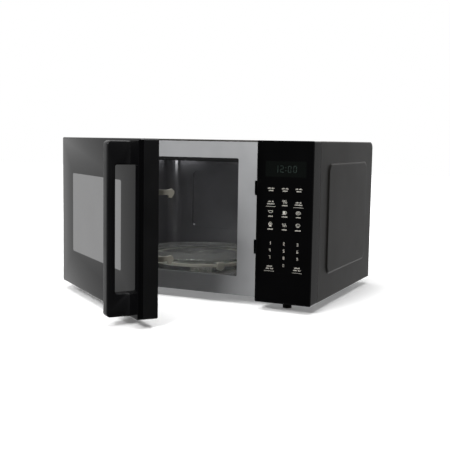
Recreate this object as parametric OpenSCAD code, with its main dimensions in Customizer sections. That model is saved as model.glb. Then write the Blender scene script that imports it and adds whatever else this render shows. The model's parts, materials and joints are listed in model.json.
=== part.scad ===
// Countertop microwave oven with a side-hinged door.
// X runs from the hinge side to the control side, Y from the door to the back, Z up.
// Z = 0 is the surface that the feet stand on.

/* [Case] */
// Width of the case, side to side
case_w = 513; // [425:1:620]
// Height of the case without its feet
case_h = 283; // [234:1:342]
// Depth from the front frame to the back of the case
case_d = 340; // [282:1:410]
// Thickness of the sheet steel
sheet = 1; // [0.8:0.1:1.4]
// Radius of the bend along the top rear edge of the case
wrap_r = 14; // [6:1:20]
// Width of the folded edge around the front of the case
lip = 3; // [2:0.5:5]
// Height of the feet
foot_h = 15; // [8:1:25]
// Diameter of the feet
foot_d = 16; // [12:1:26]

/* [Door] */
// How far the door stands open as stored, in degrees
door_angle = 37.3; // [0:0.1:95]
// Thickness of the door
door_t = 34; // [34:0.5:41]
// Thickness of the front glass
glass_t = 4; // [3:0.5:6]
// Thickness of the glossy frame that carries the glass
door_frame_t = 5; // [4:0.5:8]
// Wall of the moulded choke cover
cover_wall = 2.5; // [1.8:0.1:3.5]
// Gap between the closed door and the front frame
door_gap = 2; // [1.5:0.1:4]
// Width of the door border around the window
window_border = 67.5; // [50:0.5:72]
// Distance of the hinge pin from the side of the case
hinge_inset = 10.7; // [10.2:0.1:12]
// Diameter of the hinge pins
hinge_pin_d = 6; // [4:0.5:8]
// Running clearance of pins and axles, on the radius
running_fit = 0.08; // [0.05:0.01:0.1]

/* [Handle] */
// Width of the handle
handle_w = 19.5; // [14:0.5:28]
// How far the handle stands off the door
handle_reach = 37.4; // [30:0.1:48]
// Depth of the grip bar
grip_t = 14; // [10:0.5:18]
// Length of each leg of the handle
handle_leg = 37.5; // [25:0.5:45]
// Distance of the handle from the free edge of the door
handle_inset = 36.6; // [30:0.1:50]

/* [Control panel] */
// Width of the control panel
fascia_w = 104.3; // [90:0.1:120]
// Wall of the control panel moulding
fascia_wall = 2.5; // [2:0.1:3.5]

/* [Oven cavity] */
// Distance of the cavity opening from the left side of the case
cavity_left = 50.5; // [44:0.5:58]
// Distance of the cavity opening from the right side of the case
cavity_right = 156.1; // [154:0.1:170]
// Height of the cavity opening above the underside of the case
cavity_sill = 34.4; // [32:0.1:44]
// Distance of the cavity opening from the top of the case
cavity_head = 33; // [28:0.5:42]
// Space between the back of the cavity and the back of the case
cavity_rear = 25; // [18:1:34]
// Smallest space between the turntable tray and the cavity walls
tray_space = 19; // [12:1:30]
// Distance from the edge of the tray to the circle that its rollers run on
roller_inset = 27; // [22:1:34]
// Diameter of the tray rollers
roller_d = 16.4; // [14:0.2:17]

/* [Latch] */
// Distance of the upper latch slot from the top of the case
latch_from_top = 85; // [70:1:100]
// Height of the lower latch slot above the underside of the case
latch_from_base = 92; // [80:1:100]
// Height of a latch slot
latch_slot_h = 26; // [24:0.5:32]
// Width of a latch slot
latch_slot_w = 10; // [9:0.5:12]
// How far the hooks stand out from the closed door
hook_reach = 31; // [24:1:36]
// Thickness of a hook
hook_t = 4; // [3:0.5:5]

/* [High-voltage parts] */
// Distance of the magnetron centre from the top of the case
magnetron_from_top = 80; // [76:1:90]
// Size of the magnetron frame along its axis
magnetron_l = 62; // [56:1:68]
// Depth of the waveguide, away from the cavity wall
guide_d = 38; // [30:1:42]
// Width of the transformer core
core_w = 60; // [50:1:66]
// Length of the transformer core
core_l = 100; // [84:1:110]
// Height of the transformer core
core_h = 72; // [60:1:78]
// Diameter of the fan
fan_d = 100; // [84:1:108]

/* [Hidden] */
$fn = 48;

// Small amount by which a cutter passes a face
eps = 1;
// Clearance between sheet parts that slide into each other
sheet_fit = 0.5;
// Clearance around pieces that move past each other
move_fit = 0.5;

// Planes of the case. The control panel is as deep as the door and its gap, and the raised
// fields of the side walls reach the full width
half_w = case_w / 2;
fascia_d = door_t + door_gap;
front_y = fascia_d;
rear_y = front_y + case_d;
field_depth = 2;
wall_x = half_w - field_depth;
base_z = foot_h;
top_z = base_z + case_h;
panel_y = rear_y - 2 * sheet;

// Cavity opening and cavity
open_x0 = -half_w + cavity_left;
open_x1 = half_w - cavity_right;
open_z0 = base_z + cavity_sill;
open_z1 = top_z - cavity_head;
cav_side = 4;
cav_x0 = open_x0 - cav_side;
cav_x1 = open_x1 + cav_side;
cav_y0 = front_y + sheet;
cav_y1 = panel_y - cavity_rear;
floor_z = open_z0 - 6.4;
ceiling_z = open_z1 + 3;
bay_x0 = cav_x1 + sheet;
tray_x = (cav_x0 + cav_x1) / 2;
tray_y = (cav_y0 + cav_y1) / 2;
tray_r = min(cav_x1 - cav_x0, cav_y1 - cav_y0) / 2 - tray_space;
track_r = tray_r - roller_inset;
roller_gap = 0.3;
roller_z = floor_z + roller_gap + roller_d / 2;
tray_z0 = floor_z + roller_d + 2 * roller_gap;

// Door
fascia_x0 = half_w - fascia_w;
door_x0 = -half_w + 1;
door_x1 = fascia_x0 - 1.8;
hinge_x = -half_w + hinge_inset;
hinge_y = front_y - 12.5;
hinge_r = 12;
door_y1 = front_y - door_gap;
cover_y0 = glass_t + door_frame_t;
win_x0 = door_x0 + window_border;
win_x1 = door_x1 - window_border - 9;
win_z0 = base_z + window_border;
win_z1 = top_z - window_border;
handle_x1 = door_x1 - handle_inset;
handle_x0 = handle_x1 - handle_w;
handle_top = top_z - 4;
hinge_drop = 7;
hinge_plate_t = 2;
pocket_h = hinge_drop + 2;
boss_h = 22;

// Latch
slot_x = fascia_x0 - 14.2;
slot_zs = [base_z + latch_from_base, top_z - latch_from_top];
hook_y1 = door_y1 + hook_reach;
latch_lift = 4;
latch_bar_y0 = cover_y0 + 3;
latch_bar_y1 = door_y1 - 10;

// Components behind the control panel
mag_x0 = bay_x0 + guide_d;
mag_y = rear_y - 110;
mag_z = top_z - magnetron_from_top;
mag_half = 45;
fan_x = mag_x0 + magnetron_l / 2;
shroud_y = rear_y - 40;
core_x = half_w - 62;
core_y = front_y + 124;
base_top = base_z + sheet;

// Origin: centre of the whole object's box as it stands with its door open
function swing(x, y) = [
    hinge_x + (x - hinge_x) * cos(door_angle) + (y - hinge_y) * sin(door_angle),
    hinge_y - (x - hinge_x) * sin(door_angle) + (y - hinge_y) * cos(door_angle)];
gland_reach = 8;
swung = [swing(door_x0, 0), swing(door_x1, 0), swing(handle_x1, -handle_reach),
    swing(handle_x0, -handle_reach)];
reach_x0 = min([for (p = swung) p[0]]);
reach_y0 = min([for (p = swung) p[1]]);
origin_x = (min(reach_x0, -half_w) + half_w) / 2;
origin_y = (min(reach_y0, 0) + rear_y + gland_reach) / 2;

// ---- Shared shapes ----

// Moves a piece from the case's own coordinates to the object's origin
module placed() {
    translate([-origin_x, -origin_y, 0]) children();
}

// The same for a piece of the door, which is drawn closed and stands open
module on_door() {
    placed() translate([hinge_x, hinge_y, 0]) rotate([0, 0, -door_angle])
        translate([-hinge_x, -hinge_y, 0]) children();
}

// Rectangle with its corner at the origin and rounded corners
module rounded(w, h, r) {
    if (r > 0) {
        translate([r, 0]) square([w - 2 * r, h]);
        translate([0, r]) square([w, h - 2 * r]);
        for (x = [r, w - r], y = [r, h - r]) translate([x, y]) circle(r = r);
    } else {
        square([w, h]);
    }
}

// Plates between two corners, in each of the three directions
module plate_xy(x0, x1, y0, y1, z0, t, r = 0) {
    translate([x0, y0, z0]) linear_extrude(t) rounded(x1 - x0, y1 - y0, r);
}
module plate_xz(x0, x1, z0, z1, y0, t, r = 0) {
    translate([x0, y0 + t, z0]) rotate([90, 0, 0]) linear_extrude(t)
        rounded(x1 - x0, z1 - z0, r);
}
module plate_yz(y0, y1, z0, z1, x0, t, r = 0) {
    translate([x0, y0, z0]) rotate([90, 0, 90]) linear_extrude(t)
        rounded(y1 - y0, z1 - z0, r);
}

// Rods along X and Y that start at a point
module rod_x(x, y, z, d, l) {
    translate([x, y, z]) rotate([0, 90, 0]) cylinder(d = d, h = l);
}
module rod_y(x, y, z, d, l) {
    translate([x, y, z]) rotate([-90, 0, 0]) cylinder(d = d, h = l);
}

// Screw with a pan head whose shank points along -Y
module screw_y(x, y, z, d, l) {
    rod_y(x, y - l, z, d, l);
    rod_y(x, y, z, 1.9 * d, 0.6 * d);
}

// ---- Case ----

// Side view of the case, drawn as Y and Z, inset from its faces
module case_side(inset, z0) {
    translate([front_y + inset, z0])
        square([case_d - inset - wrap_r, top_z - inset - z0]);
    translate([front_y + inset, z0])
        square([case_d - 2 * inset, top_z - wrap_r - z0]);
    translate([rear_y - wrap_r, top_z - wrap_r]) circle(r = wrap_r - inset);
}
module case_block(inset, z0) {
    translate([-wall_x + inset, 0, 0]) rotate([90, 0, 90])
        linear_extrude(2 * (wall_x - inset)) case_side(inset, z0);
}

// Raised field of a side wall, as a slab that starts at x
module side_field(x, t, grow) {
    plate_yz(front_y + 46.7 - grow, rear_y - 45.3 + grow,
        base_z + 43.5 - grow, top_z - 39 + grow, x, t, 16 + grow);
}
rear_lip = 14;
module outer_wrap() {
    color("#1b1b1d") placed() difference() {
        union() {
            difference() {
                case_block(0, base_z);
                case_block(sheet, base_z - eps);
            }
            side_field(-half_w, field_depth + sheet, 0);
            side_field(wall_x - sheet, field_depth + sheet, 0);
        }
        side_field(-half_w + sheet, field_depth + eps, -sheet);
        side_field(wall_x - sheet - eps, field_depth + eps, -sheet);
        plate_xz(-half_w + lip, half_w - lip, base_z - eps, top_z - lip,
            front_y - eps, sheet + 2 * eps);
        plate_xz(-half_w + rear_lip, half_w - rear_lip, base_z - eps,
            top_z - wrap_r - rear_lip + 2, rear_y - wrap_r, wrap_r + eps);
        for (p = rear_screws) rod_y(p[0], rear_y - sheet - eps, p[1], 4, 4);
    }
}
rear_screws = [for (x = [-half_w + rear_lip / 2 + 1, half_w - rear_lip / 2 - 1])
    for (z = [base_z + 30, (base_z + top_z) / 2, top_z - 50]) [x, z]];

module base_plate() {
    x1 = wall_x - sheet - sheet_fit;
    y0 = front_y + sheet + sheet_fit;
    y1 = panel_y - sheet_fit;
    color("#8b8e90") placed() difference() {
        union() {
            plate_xy(-x1, x1, y0, y1, base_z, sheet);
            for (x = [-x1, x1 - sheet]) plate_yz(y0, y1, base_z, base_z + 12, x, sheet);
        }
        for (p = foot_places) translate([p[0], p[1], base_z - eps]) cylinder(d = 4.5, h = 4);
        for (i = [0:7]) plate_xy(mag_x0 - 20, mag_x0 + 6, core_y - 50 + 12 * i,
            core_y - 45 + 12 * i, base_z - eps, sheet + 2 * eps, 2.4);
    }
}

module rear_panel() {
    x1 = wall_x - sheet - sheet_fit;
    color("#1b1b1d") placed() difference() {
        plate_xz(-x1, x1, base_top + sheet_fit, top_z - wrap_r, panel_y, sheet);
        for (r = [0:9]) for (c = [-1:1])
            plate_xz(fan_x - 13 + 32 * c, fan_x + 13 + 32 * c,
                mag_z - 42 + 8.4 * r, mag_z - 38 + 8.4 * r, panel_y - eps, 3 * sheet, 1.9);
        for (r = [0:5]) for (c = [0:2])
            plate_xz(-half_w + 60 + 36 * c, -half_w + 88 + 36 * c,
                top_z - 100 + 8.4 * r, top_z - 96 + 8.4 * r, panel_y - eps, 3 * sheet, 1.9);
        for (p = rear_screws) rod_y(p[0], panel_y - eps, p[1], 4, 4);
        rod_y(gland_x, panel_y - eps, gland_z, gland_d, 4);
    }
}
gland_x = half_w - 40;
gland_z = base_z + 34;
gland_d = 12;

module case_screws() {
    color("#3c3d40") placed() for (p = rear_screws)
        screw_y(p[0], rear_y, p[1], 4, 8);
}

foot_places = [for (x = [-half_w + 60, half_w - 60])
    for (y = [front_y + 10, rear_y - 34]) [x, y]];
module feet() {
    color("#121212") placed() for (p = foot_places) translate([p[0], p[1], 0]) {
        cylinder(d = foot_d, h = foot_h);
        cylinder(d = 4.5, h = foot_h + sheet);
        translate([0, 0, foot_h + sheet]) cylinder(d = 8, h = 2);
    }
}

// ---- Front frame and hinges ----

// Heights of the lower and of the upper hinge plate
hinge_zs = [base_z + hinge_drop - hinge_plate_t, top_z - hinge_drop];
module frame_plate() {
    plate_xz(-half_w + lip + 0.2, half_w - lip - 0.2, base_z, top_z - lip - 0.2,
        front_y, sheet, 1);
    plate_xz(open_x0 - 12, open_x1 + 12, open_z1 + 12, open_z1 + 13,
        front_y, 8);
}
module front_frame() {
    color("#c3c6c9") placed() difference() {
        frame_plate();
        plate_xz(open_x0, open_x1, open_z0, open_z1, front_y - eps, 3, 3);
        for (z = slot_zs)
            plate_xz(slot_x - latch_slot_w / 2, slot_x + latch_slot_w / 2,
                z - latch_slot_h / 2, z + latch_slot_h / 2, front_y - eps, 3);
        for (z = hinge_zs)
            plate_xz(hinge_x - 5 - 0.2, hinge_x + 20.2, z - 0.2, z + hinge_plate_t + 0.2,
                front_y - eps, 3);
        plate_xz(fascia_x0 + 24, half_w - 14, base_z + 30, top_z - 30, front_y - eps, 3, 6);
    }
}

// Hinge plate with a round end and its pin, which points down on the upper hinge
module hinge_arm(z, down) {
    plate_xy(hinge_x - 5, hinge_x + 20, front_y - 4, front_y + sheet + 2, z, hinge_plate_t);
    plate_xy(hinge_x - 5, hinge_x + 5, hinge_y, front_y, z, hinge_plate_t);
    translate([hinge_x, hinge_y, z]) cylinder(r = 5, h = hinge_plate_t);
    plate_xz(hinge_x - 5, hinge_x + 20, down ? z - 24 : z, down ? z + hinge_plate_t : z + 26,
        front_y + sheet, 2);
    translate([hinge_x, hinge_y, down ? z - 18 : z])
        cylinder(d = hinge_pin_d, h = 18 + hinge_plate_t);
}
module upper_hinge() {
    color("#a9acaf") placed() hinge_arm(hinge_zs[1], true);
}
module lower_hinge() {
    color("#a9acaf") placed() hinge_arm(hinge_zs[0], false);
}

// ---- Oven cavity ----

cav_r = 24;
port_z0 = mag_z - 100;
port_z1 = mag_z - 50;
lamp_y = front_y + 100;
lamp_z = mag_z - 57;
duct_y0 = mag_y - 95;
coupler_hole_d = 14;

// Inside of the cavity, larger by grow and rounded at its rear corners
module cavity_space(grow) {
    plate_xy(cav_x0 - grow, cav_x1 + grow, cav_y0 - 3 * cav_r, cav_y1 + grow,
        floor_z - grow, ceiling_z - floor_z + 2 * grow, cav_r + grow);
}
// Pressed field of the back wall and of the left wall; depth from the wall's face
module back_field(y, t, grow) {
    plate_xz(cav_x0 + 55 - grow, cav_x1 - 55 + grow, floor_z + 55 - grow,
        ceiling_z - 41 + grow, y, t, 14 + grow);
}
module left_field(x, t, grow) {
    plate_yz(cav_y0 + 52 - grow, cav_y1 - 72 + grow, floor_z + 55 - grow,
        ceiling_z - 41 + grow, x, t, 14 + grow);
}
press_depth = 3;
module cavity_liner() {
    color("#77797b") placed() difference() {
        union() {
            cavity_space(sheet);
            back_field(cav_y1, press_depth + sheet, sheet);
            left_field(cav_x0 - press_depth - sheet, press_depth + sheet, sheet);
        }
        cavity_space(0);
        plate_xz(-half_w, half_w, 0, top_z, cav_y0 - 4 * cav_r, 4 * cav_r);
        back_field(cav_y1 - eps, press_depth + eps, 0);
        left_field(cav_x0 - press_depth, press_depth + eps, 0);
        translate([tray_x, tray_y, floor_z - 2 * sheet])
            cylinder(d = coupler_hole_d, h = 3 * sheet);
        plate_yz(mag_y - 35, mag_y + 35, port_z0, port_z1, cav_x1 - eps, 3 * sheet, 3);
        for (i = [-2:2]) for (j = [-2:2])
            rod_x(cav_x1 - eps, lamp_y + 6 * i, lamp_z + 6 * j, 4, 4);
        for (i = [0:4]) for (j = [-2:2])
            rod_x(cav_x1 - eps, duct_y0 + 12 + 7 * i, mag_z + 7 * j, 4.4, 4);
        for (i = [0:7]) for (j = [0:2])
            rod_x(cav_x0 - 3, cav_y0 + 64 + 7 * i, ceiling_z - 30 + 7 * j, 4.4, 4);
    }
}

module waveguide() {
    color("#b4b7ba") placed() difference() {
        plate_yz(mag_y - mag_half, mag_y + mag_half, mag_z - 110, mag_z + 32,
            bay_x0, guide_d, 2);
        plate_yz(mag_y - mag_half + sheet, mag_y + mag_half - sheet,
            mag_z - 110 + sheet, mag_z + 32 - sheet, bay_x0 - eps, guide_d + eps - sheet, 2);
        rod_x(mag_x0 - 2 * sheet, mag_y, mag_z, 20, 4 * sheet);
    }
}

module waveguide_cover() {
    color("#c9bb97") placed()
        plate_yz(mag_y - 42, mag_y + 42, port_z0 - 7, port_z1 + 7, cav_x1 - 0.5, 0.5, 4);
}

// ---- Turntable ----

module turntable_motor() {
    z1 = floor_z - sheet;
    color("#9fa3a6") placed() translate([tray_x, tray_y, 0]) difference() {
        union() {
            translate([0, 0, z1 - 17]) cylinder(d = 50, h = 17);
            plate_xy(-36, 36, -6, 6, z1 - 1.5, 1.5, 5);
            plate_xy(18, 32, -12, 12, z1 - 15, 12, 1);
        }
        translate([0, 0, z1 - 8]) cylinder(d = shaft_d + 2 * running_fit, h = 9);
        for (x = [-31, 31]) translate([x, 0, z1 - 3]) cylinder(d = 3.4, h = 4);
    }
}
shaft_d = 7;
arm_r = 24;
module turntable_coupler() {
    color("#d9d4c4") placed() translate([tray_x, tray_y, 0]) {
        translate([0, 0, floor_z - sheet - 7.5]) cylinder(d = shaft_d, h = 12);
        translate([0, 0, floor_z + 1]) cylinder(d = 18, h = tray_z0 - floor_z - 2);
        for (a = [0:120:240]) rotate([0, 0, a])
            plate_xy(0, arm_r, -4, 4, floor_z + 9, tray_z0 - floor_z - 10, 2);
    }
}

// Outline of the tray from its centre to its rim
tray_t = 4;
rim_h = 9;
module glass_tray() {
    color("#c9dde0", 0.45) placed() translate([tray_x, tray_y, 0]) {
        rotate_extrude($fn = 96) polygon([[0, tray_z0], [tray_r - 15, tray_z0],
            [tray_r - 2.5, tray_z0 + rim_h - 4], [tray_r, tray_z0 + rim_h - 2],
            [tray_r, tray_z0 + rim_h], [tray_r - 3, tray_z0 + rim_h],
            [tray_r - 16, tray_z0 + tray_t], [0, tray_z0 + tray_t]]);
        for (a = [0:120:240]) for (b = [-35, 35]) rotate([0, 0, a + b])
            translate([arm_r - 4, 0, tray_z0 - 5]) cylinder(d = 7, h = 5 + eps);
    }
}

roller_w = 8;
axle_d = 4;
module roller_ring() {
    color("#e6e2d6") placed() translate([tray_x, tray_y, roller_z]) {
        difference() {
            translate([0, 0, -2.5]) cylinder(r = track_r - 8, h = 5, $fn = 96);
            translate([0, 0, -2.5 - eps]) cylinder(r = track_r - 15, h = 5 + 2 * eps, $fn = 96);
        }
        for (a = roller_angles) rotate([0, 0, a]) {
            rod_x(track_r - 10, 0, 0, 6.6, 10 - roller_w / 2 - move_fit);
            rod_x(track_r - 10, 0, 0, axle_d, 10 + roller_w / 2 + move_fit + 1);
            rod_x(track_r + roller_w / 2 + move_fit, 0, 0, 5.6, 1.5);
        }
    }
}
roller_angles = [-43, 77, 197];
// One of the three rollers, on its axle
module roller(i) {
    color("#f0eee8") placed() translate([tray_x, tray_y, roller_z])
        rotate([0, 0, roller_angles[i]]) difference() {
            rod_x(track_r - roller_w / 2, 0, 0, roller_d, roller_w);
            rod_x(track_r - roller_w, 0, 0, axle_d + 2 * running_fit, 2 * roller_w);
        }
}
module roller_1() { roller(0); }
module roller_2() { roller(1); }
module roller_3() { roller(2); }

// ---- Control panel ----

overlay_t = 0.8;
disp_x0 = fascia_x0 + 16;
disp_x1 = half_w - 14;
disp_z0 = top_z - 62;
disp_z1 = top_z - 35;
board_y = 14;
board_t = 1.6;
board_x0 = fascia_x0 + 8;
board_x1 = half_w - 8;
board_z0 = base_z + 22;
board_z1 = top_z - 20;
board_posts = [for (x = [board_x0 + 6, board_x1 - 6]) for (z = [board_z0 + 8, board_z1 - 8]) [x, z]];

module control_fascia() {
    w = fascia_wall;
    color("#08090a") placed() difference() {
        union() {
            difference() {
                union() {
                    plate_xz(fascia_x0, half_w, base_z, top_z, 0, fascia_d - 2, 2.5);
                    plate_xz(fascia_x0 + 1.5, half_w - 1.5, base_z + 1.5, top_z - 1.5,
                        fascia_d - 2 - eps, 2 + eps, 1);
                }
                plate_xz(fascia_x0 + w, half_w - w, base_z + w, top_z - w, w, fascia_d);
            }
            for (p = board_posts) rod_y(p[0], w - eps, p[1], 7, board_y - w + eps);
        }
        plate_xz(fascia_x0 + 2, half_w - 2, base_z + 2, top_z - 2, -eps, overlay_t + eps, 1.5);
        plate_xz(disp_x0, disp_x1, disp_z0, disp_z1, -eps, w + 2 * eps, 1);
        for (p = board_posts) rod_y(p[0], board_y - 8, p[1], 2.6, 9);
    }
}

module keypad_overlay() {
    color("#050506") placed() difference() {
        plate_xz(fascia_x0 + 2, half_w - 2, base_z + 2, top_z - 2, 0, overlay_t, 1.5);
        plate_xz(disp_x0, disp_x1, disp_z0, disp_z1, -eps, overlay_t + 2 * eps, 1);
    }
}

module display_window() {
    color("#101312") placed()
        plate_xz(disp_x0, disp_x1, disp_z0, disp_z1, 0, fascia_wall, 1);
}

module display_module() {
    color("#2c6a4e") placed() plate_xz(disp_x0 + 6, disp_x1 - 6, disp_z0 + 2, disp_z1 - 2,
        fascia_wall + 1, board_y - fascia_wall - 1, 1);
}

module control_board() {
    color("#2e7a46") placed() {
        difference() {
            plate_xz(board_x0, board_x1, board_z0, board_z1, board_y, board_t, 2);
            for (p = board_posts) rod_y(p[0], board_y - eps, p[1], 3.4, 4);
        }
        rod_y(board_x0 + 22, board_y + board_t - 0.2, board_z0 + 150, 14, 7);
    }
}

module board_transformer() {
    color("#7d5a35") placed() plate_xz(board_x1 - 46, board_x1 - 10, board_z0 + 22,
        board_z0 + 52, board_y + board_t, 16, 2);
}

module relays() {
    color("#20242b") placed() for (i = [0:2])
        plate_xz(board_x0 + 8 + 24 * i, board_x0 + 26 + 24 * i, board_z0 + 68,
            board_z0 + 84, board_y + board_t, 14, 1);
}

// ---- Magnetron and its air ----

mag_plate = 1.5;
magnet_t = 12;
anode_x0 = mag_x0 + mag_plate + magnet_t;
anode_l = magnetron_l - 2 * (mag_plate + magnet_t);

module magnetron_frame() {
    color("#b9bcbf") placed() difference() {
        union() {
            for (x = [mag_x0, mag_x0 + magnetron_l - mag_plate])
                plate_yz(mag_y - 40, mag_y + 40, mag_z - 37, mag_z + 37, x, mag_plate, 1);
            for (z = [mag_z - 37, mag_z + 37 - mag_plate])
                plate_xy(mag_x0, mag_x0 + magnetron_l, mag_y - 40, mag_y + 40, z, mag_plate);
        }
        rod_x(mag_x0 - eps, mag_y, mag_z, 19, magnetron_l + 2 * eps);
    }
}

module magnetron_magnets() {
    color("#3a3a3d") placed() for (x = [mag_x0 + mag_plate, anode_x0 + anode_l]) difference() {
        rod_x(x, mag_y, mag_z, 54, magnet_t);
        rod_x(x - eps, mag_y, mag_z, 20, magnet_t + 2 * eps);
    }
}

module magnetron_anode() {
    color("#c98a54") placed() {
        rod_x(anode_x0, mag_y, mag_z, 38, anode_l);
        for (i = [1:5]) plate_yz(mag_y - 38, mag_y + 38, mag_z - 35, mag_z + 35,
            anode_x0 + anode_l * i / 6 - 0.4, 0.8, 1);
    }
}

module magnetron_antenna() {
    color("#d6d2c6") placed() {
        rod_x(mag_x0 - 20, mag_y, mag_z, 14, anode_x0 - mag_x0 + 20);
        translate([mag_x0 - 20, mag_y, mag_z]) sphere(d = 14);
    }
}

module magnetron_filter_box() {
    x = mag_x0 + magnetron_l;
    color("#aeb1b4") placed() {
        difference() {
            plate_yz(mag_y - 28, mag_y + 28, mag_z - 25, mag_z + 25, x, 30, 2);
            plate_yz(mag_y - 27, mag_y + 27, mag_z - 24, mag_z + 24, x + sheet, 28, 1);
        }
        for (z = [mag_z - 8, mag_z + 4]) plate_xz(x + 8, x + 14, z, z + 4, mag_y - 36, 8.5);
    }
}

module air_duct() {
    wall = 2;
    y1 = mag_y - mag_half - move_fit;
    color("#2a2c2f") placed() difference() {
        plate_yz(duct_y0, y1, mag_z - 37, mag_z + 37, bay_x0, magnetron_l + guide_d, 3);
        plate_yz(duct_y0 + wall, y1 - wall, mag_z - 37 + wall, mag_z + 37 - wall,
            bay_x0 - eps, magnetron_l + guide_d + eps - wall, 2);
        plate_xz(mag_x0 + wall, mag_x0 + magnetron_l - wall, mag_z - 37 + wall,
            mag_z + 37 - wall, y1 - wall - eps, wall + 2 * eps);
    }
}

shroud_z0 = mag_z - 60;
shroud_z1 = mag_z + 60;
shroud_x1 = wall_x - sheet - sheet_fit;
module fan_shroud() {
    color("#3d4045") placed() {
        difference() {
            union() {
                plate_xz(bay_x0 + 4, shroud_x1, shroud_z0, shroud_z1, shroud_y, 2, 3);
                rod_y(fan_x, shroud_y - 20, mag_z, fan_d + 12, 20 + eps);
            }
            rod_y(fan_x, shroud_y - 20 - eps, mag_z, fan_d + 8, 22 + 2 * eps);
        }
        for (x = [bay_x0 + 11, shroud_x1 - 8]) for (z = [shroud_z0 + 7, shroud_z1 - 7])
            rod_y(x, shroud_y + 1, z, 7, panel_y - shroud_y - 1);
    }
}

fan_shaft_d = 4;
rotor_d = 22;
module fan_motor() {
    color("#a7774a") placed() difference() {
        union() {
            plate_xz(fan_x - fan_d / 2 - 9, fan_x + fan_d / 2 + 9, mag_z - 6, mag_z + 6,
                shroud_y + 2, 2, 2);
            plate_xz(fan_x - 28, fan_x + 28, mag_z - 6, mag_z + 6, shroud_y + 30, 2, 2);
            for (x = [fan_x - 23, fan_x + 23]) rod_y(x, shroud_y + 3, mag_z, 5, 28);
            plate_xz(fan_x - 28, fan_x + 28, mag_z - 30, mag_z + 22, shroud_y + 10, 12, 2);
            plate_xz(fan_x - 13, fan_x + 13, mag_z - 38, mag_z - 14, shroud_y + 6, 20, 3);
        }
        rod_y(fan_x, shroud_y, mag_z, fan_shaft_d + 2 * running_fit, 40);
        rod_y(fan_x, shroud_y + 5, mag_z, rotor_d + 0.8, 24);
    }
}
module fan_rotor() {
    color("#8f9295") placed() {
        rod_y(fan_x, shroud_y + 10.5, mag_z, rotor_d, 11);
        rod_y(fan_x, shroud_y - 16, mag_z, fan_shaft_d, 50);
    }
}
module fan_blade() {
    color("#e9e9e4") placed() translate([fan_x, shroud_y - 9, mag_z]) rotate([-90, 0, 0])
        difference() {
            union() {
                translate([0, 0, -6]) cylinder(d = 26, h = 12);
                for (i = [0:4]) rotate([0, 0, 72 * i]) rotate([30, 0, 0])
                    translate([11, -13, -0.8]) cube([fan_d / 2 - 12, 26, 1.6]);
            }
            translate([0, 0, -8]) cylinder(d = fan_shaft_d, h = 16);
        }
}

// ---- High-voltage and mains parts ----

core_z0 = base_top + 1.5;
leg_w = 24;
window_l = 18;
coil_h = (core_h - leg_w - 2) / 2;
module transformer_core() {
    color("#5e6063") placed() {
        plate_xy(core_x - core_w / 2 - 12, core_x + core_w / 2 + 12, core_y - core_l / 2,
            core_y + core_l / 2, base_top, 1.5, 2);
        difference() {
            plate_xy(core_x - core_w / 2, core_x + core_w / 2, core_y - core_l / 2,
                core_y + core_l / 2, core_z0, core_h, 1);
            for (s = [-1, 1]) translate([0, s * (leg_w + window_l) / 2, 0])
                plate_yz(core_y - window_l / 2, core_y + window_l / 2, core_z0 + leg_w / 2,
                    core_z0 + core_h - leg_w / 2, core_x - core_w, 2 * core_w);
        }
    }
}
module transformer_windings() {
    color("#b5622c") placed() for (i = [0, 1])
        translate([core_x, core_y, core_z0 + leg_w / 2 + i * (coil_h + 2)]) difference() {
            plate_xy(-core_w / 2 - 16, core_w / 2 + 16, -leg_w / 2 - 16, leg_w / 2 + 16, 0,
                coil_h, 14);
            plate_xy(-core_w / 2, core_w / 2, -leg_w / 2, leg_w / 2, -eps, coil_h + 2 * eps);
        }
}

cap_w = 52;
cap_h = 34;
cap_l = 84;
cap_x0 = core_x - cap_w / 2;
cap_y0 = core_y + core_l / 2 + 12;
cap_z0 = base_top + 1;
module capacitor() {
    color("#c7cacc") placed() {
        plate_xz(cap_x0, cap_x0 + cap_w, cap_z0, cap_z0 + cap_h, cap_y0, cap_l, cap_h / 2 - 0.1);
        for (x = [cap_x0 + 16, cap_x0 + 33]) plate_xz(x, x + 3, cap_z0 + 12, cap_z0 + 20,
            cap_y0 - 7, 7 + eps);
    }
}
module capacitor_clamp() {
    color("#97999c") placed() difference() {
        union() {
            plate_xz(cap_x0 - 1, cap_x0 + cap_w + 1, cap_z0 - 1, cap_z0 + cap_h + 1,
                cap_y0 + 30, 16, cap_h / 2 + 0.9);
            plate_xz(cap_x0 - 12, cap_x0 + 24, base_top, base_top + 1, cap_y0 + 30, 16);
        }
        plate_xz(cap_x0, cap_x0 + cap_w, cap_z0, cap_z0 + cap_h, cap_y0 + 30 - eps,
            16 + 2 * eps, cap_h / 2 - 0.1);
    }
}
diode_y = cap_y0 - 3.5;
module diode() {
    x = cap_x0 - 14;
    color("#1e1e20") placed() {
        rod_x(x, diode_y, cap_z0 + 16, 6, 20);
        translate([x + 2, diode_y, base_top]) cylinder(d = 1.6, h = 16);
        rod_x(x + 19, diode_y, cap_z0 + 16, 1.6, cap_x0 + 16 - x - 19);
    }
}

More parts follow.
